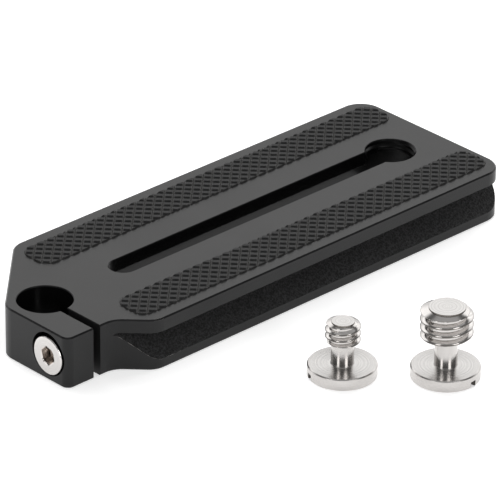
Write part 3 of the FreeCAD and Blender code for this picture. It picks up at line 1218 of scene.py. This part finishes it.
@dataclass
class CameraScrew:
    """A flanged camera screw, stood on its flange beside the plate.

    Attributes:
        node: The CAD node that it replaces.
        tip_taper: How much narrower the tip is than the thread, in radius.
        coin_angle: Direction of the coin slot in degrees.
        thread_start: Where the thread starts, as a share of a turn.
    """

    node: str
    thread: ThreadForm
    neck_length: float
    thread_length: float
    tip_taper: float
    coin_angle: float
    thread_start: float
    body: str = "plate"
    slot: str = "stainless_turned"
    flange_radius: float = 6.2
    flange_thickness: float = 2.3
    flange_break: float = 0.2
    neck_radius: float = 2.05
    thread_end_angle: float = 18.0
    coin_width: float = 1.2
    coin_depth: float = 1.2
    coin_margin: float = 1.0
    tip_step: float = 0.28
    edge_round: float = 0.03
    neck_rounds: Point = (0.12, 0.1)
    core_radii: Point = (0.6, 0.5)
    thread_slack: float = 0.03
    step_margin: float = 0.02
    # Crests within this depth of the major radius take the dark painted edge line.
    crest_line: float = 0.03
    sharp: float = 14.0
    columns: int = 144

    def build(self) -> Piece:
        """Builds the screw in its place.

        Returns:
            The screw.
        """
        low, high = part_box(self.node)
        skin = TurnedSkin(self.columns)
        neck_top = self.flange_thickness + self.neck_length
        tip = neck_top + self.thread_length
        start_radius = self.thread.minor_radius - self.thread_slack
        tip_radius = min(self.thread.major_radius - self.tip_taper, self.thread.minor_radius)
        end_slope = 1 / math.tan(math.radians(self.thread_end_angle))
        inner = self.flange_radius - self.flange_break
        outline = rounded_outline(
            [
                (self.core_radii[0], 0, 0),
                (inner, 0, self.edge_round),
                (self.flange_radius, self.flange_break, self.edge_round),
                (self.flange_radius, self.flange_thickness - self.flange_break, self.edge_round),
                (inner, self.flange_thickness, self.edge_round),
                (self.neck_radius, self.flange_thickness, self.neck_rounds[0]),
                (self.neck_radius, neck_top, self.neck_rounds[1]),
                (start_radius, neck_top, 0),
            ],
            steps=3,
        )
        first, _ = skin.lathe(outline)
        skin.cap(first, 0.0)
        shoulder = tip - self.tip_step
        skin.thread(self.thread, neck_top, shoulder, (start_radius, tip_radius), end_slope, self.thread_start)
        tip_edge = [(tip_radius, tip - self.edge_round), (tip_radius - self.edge_round, tip)]
        _, last = skin.lathe([(tip_radius, shoulder), *tip_edge, (self.core_radii[1], tip)])
        skin.cap(last, tip)
        screw = mesh_piece(self.node + "_steel", skin.points, skin.faces, self.sharp)
        cut_away(screw, self._coin_slot(), self.sharp)
        middle = (low + high) / 2
        screw.matrix_world = Matrix.Translation((middle.x, middle.y, low.z))
        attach(screw, self.body)
        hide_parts(self.node)
        return screw

    def _coin_slot(self) -> Piece:
        """Builds the box that cuts the coin slot across the flange's underside.

        Returns:
            The box.
        """
        reach = self.flange_radius + self.coin_margin
        half = self.coin_width / 2
        turn = Matrix.Rotation(math.radians(self.coin_angle), 3, "Z")
        points = []
        for height in (-self.coin_margin, self.coin_depth):
            for across, along in ((-reach, -half), (reach, -half), (reach, half), (-reach, half)):
                points.append(tuple(turn @ Vector((across, along, height))))
        faces = [(3, 2, 1, 0), (4, 5, 6, 7)]
        faces += [(side, (side + 1) % 4, 4 + (side + 1) % 4, 4 + side) for side in range(4)]
        return mesh_piece(self.node + "_coin_cutter", points, faces)

    def dress(self, effects: Effects) -> None:
        """Builds the screw and gives it its finish.

        Args:
            effects: The shared effects.
        """
        tip = self.flange_thickness + self.neck_length + self.thread_length
        finish = replace(
            TURNED_STEEL,
            name=self.node + "_turned",
            crest_radius=self.thread.major_radius - self.crest_line,
            step_height=tip - self.tip_step - self.step_margin,
            notch=(self.coin_angle, self.coin_width, self.coin_depth),
        )
        dress(self.build(), finish.make(effects))


QUARTER_SCREW = CameraScrew(
    node="camera_screw_quarter",
    thread=ThreadForm(major_radius=3.15, pitch=1.27),
    neck_length=4.35,
    thread_length=4.0,
    tip_taper=1.1,
    coin_angle=158.0,
    thread_start=0.0,
)
THREE_EIGHTHS_SCREW = CameraScrew(
    node="camera_screw_three_eighths",
    thread=ThreadForm(major_radius=4.725, pitch=1.5875),
    neck_length=5.75,
    thread_length=5.75,
    tip_taper=1.45,
    coin_angle=96.0,
    thread_start=0.21,
)


# The studio.


@dataclass(frozen=True)
class Softbox:
    """A flat soft lamp that hangs at a place and points at an aim, and that gloss mirrors or not."""

    name: str
    place: Place
    aim: Place
    size: Point
    watts: float
    mirrored: bool = True

    def build(self) -> None:
        """Adds the lamp, which the camera doesn't see."""
        lamp = bpy.data.lights.new(self.name, "AREA")
        lamp.shape = "RECTANGLE"
        lamp.size = self.size[0] * MM
        lamp.size_y = self.size[1] * MM
        lamp.energy = self.watts
        holder = bpy.data.objects.new(self.name, lamp)
        bpy.context.scene.collection.objects.link(holder)
        holder.location = Vector(self.place) * MM
        holder.rotation_mode = "QUATERNION"
        holder.rotation_quaternion = (Vector(self.aim) - Vector(self.place)).to_track_quat("-Z", "Y")
        holder.visible_camera = False
        holder.visible_glossy = self.mirrored


@dataclass
class Studio:
    """Floor, backdrop light, lamps and camera."""

    floor_size: float = 8000.0
    backdrop: Place = (0.655, 0.755, 0.0)
    room_level: float = 0.16
    horizon_level: float = 1.0
    backdrop_level: float = 1.68
    gap_level: float = 0.12
    ceiling_level: float = 0.5
    backdrop_rise: Point = (0.05, 0.55)
    sheet_rise: Point = (0.15, 0.45)
    gap_rise: Point = (0.64, 0.75)
    ceiling_rise: Point = (0.79, 0.85)
    camera_place: Place = (-490.946, -565.756, 418.815)
    camera_azimuth: float = 43.69
    camera_elevation: float = 28.05
    camera_roll: float = 0.55
    lens: float = 350.784
    sensor_width: float = 36.0
    lamps: tuple[Softbox, ...] = (
        Softbox("far_left_softbox", (93, 732, 669), (45, -10, 0), (600, 500), 2.8, False),
        Softbox("far_right_softbox", (784, 71, 669), (45, -10, 0), (600, 500), 2.8, False),
        Softbox("left_strip", (-832, -126, 420), (35, -40, 5), (320, 620), 2.5),
        Softbox("right_strip", (-67, -927, 420), (35, -40, 5), (400, 620), 3.2),
    )

    def build(self) -> None:
        """Builds the whole studio."""
        self._floor()
        self._world()
        for lamp in self.lamps:
            lamp.build()
        self._camera()

    def _floor(self) -> None:
        """Lays the floor under the object."""
        half = self.floor_size / 2
        corners = [(-half, -half, 0.0), (half, -half, 0.0), (half, half, 0.0), (-half, half, 0.0)]
        floor = mesh_piece("studio_floor", corners, [(0, 1, 2, 3)])
        dress(floor, FloorFinish().make())

    def _world(self) -> None:
        """Surrounds the object with a white backdrop behind it and a dim room on the camera's side."""
        world = bpy.data.worlds.new("studio")
        wiring = Wiring(emptied(world))
        path = wiring.add("LightPath").outputs
        looking = wiring.add("TexCoord").outputs["Generated"]
        behind = wiring.step(wiring.dot(looking, self.backdrop), self.backdrop_rise)
        lift = wiring.parts(looking)[2]
        sheet = wiring.shift(wiring.step(lift, self.sheet_rise), self.horizon_level, self.backdrop_level)
        sheet = wiring.shift(wiring.step(lift, self.gap_rise), sheet, self.gap_level)
        level = wiring.shift(behind, self.room_level, sheet)
        level = wiring.shift(wiring.step(lift, self.ceiling_rise), level, self.ceiling_level)
        strength = wiring.shift(path["Is Camera Ray"], level, 1.0)
        light = wiring.add("Background", {"Color": WHITE, "Strength": strength})
        wiring.add("OutputWorld", {"Surface": light.outputs[0]})
        bpy.context.scene.world = world

    def _camera(self) -> None:
        """Sets the camera at the photograph's viewing angle."""
        data = bpy.data.cameras.new("camera")
        data.sensor_width = self.sensor_width
        data.lens = self.lens
        camera = bpy.data.objects.new("camera", data)
        bpy.context.scene.collection.objects.link(camera)
        side = math.radians(self.camera_azimuth)
        lift = math.radians(self.camera_elevation)
        back = Vector((-math.sin(side) * math.cos(lift), -math.cos(side) * math.cos(lift), math.sin(lift)))
        camera.location = Vector(self.camera_place) * MM
        camera.rotation_mode = "QUATERNION"
        level = (-back).to_track_quat("-Z", "Y")
        roll = Matrix.Rotation(math.radians(self.camera_roll), 3, back).to_quaternion()
        camera.rotation_quaternion = roll @ level
        bpy.context.scene.camera = camera


def main() -> None:
    """Builds and dresses every sub-assembly, then the studio."""
    logging.basicConfig(level=logging.INFO, format="%(name)s: %(message)s")
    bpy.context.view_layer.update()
    bpy.context.scene.view_settings.view_transform = "Standard"
    effects = Effects()
    DovetailPlate().dress(AnodisedFinish(), effects)
    GripStrips().dress(RubberFinish().make(effects))
    ClampScrew().dress(CAP_STEEL.make(effects))
    for screw in (QUARTER_SCREW, THREE_EIGHTHS_SCREW):
        screw.dress(effects)
    Studio().build()


if __name__ == "__main__":
    main()
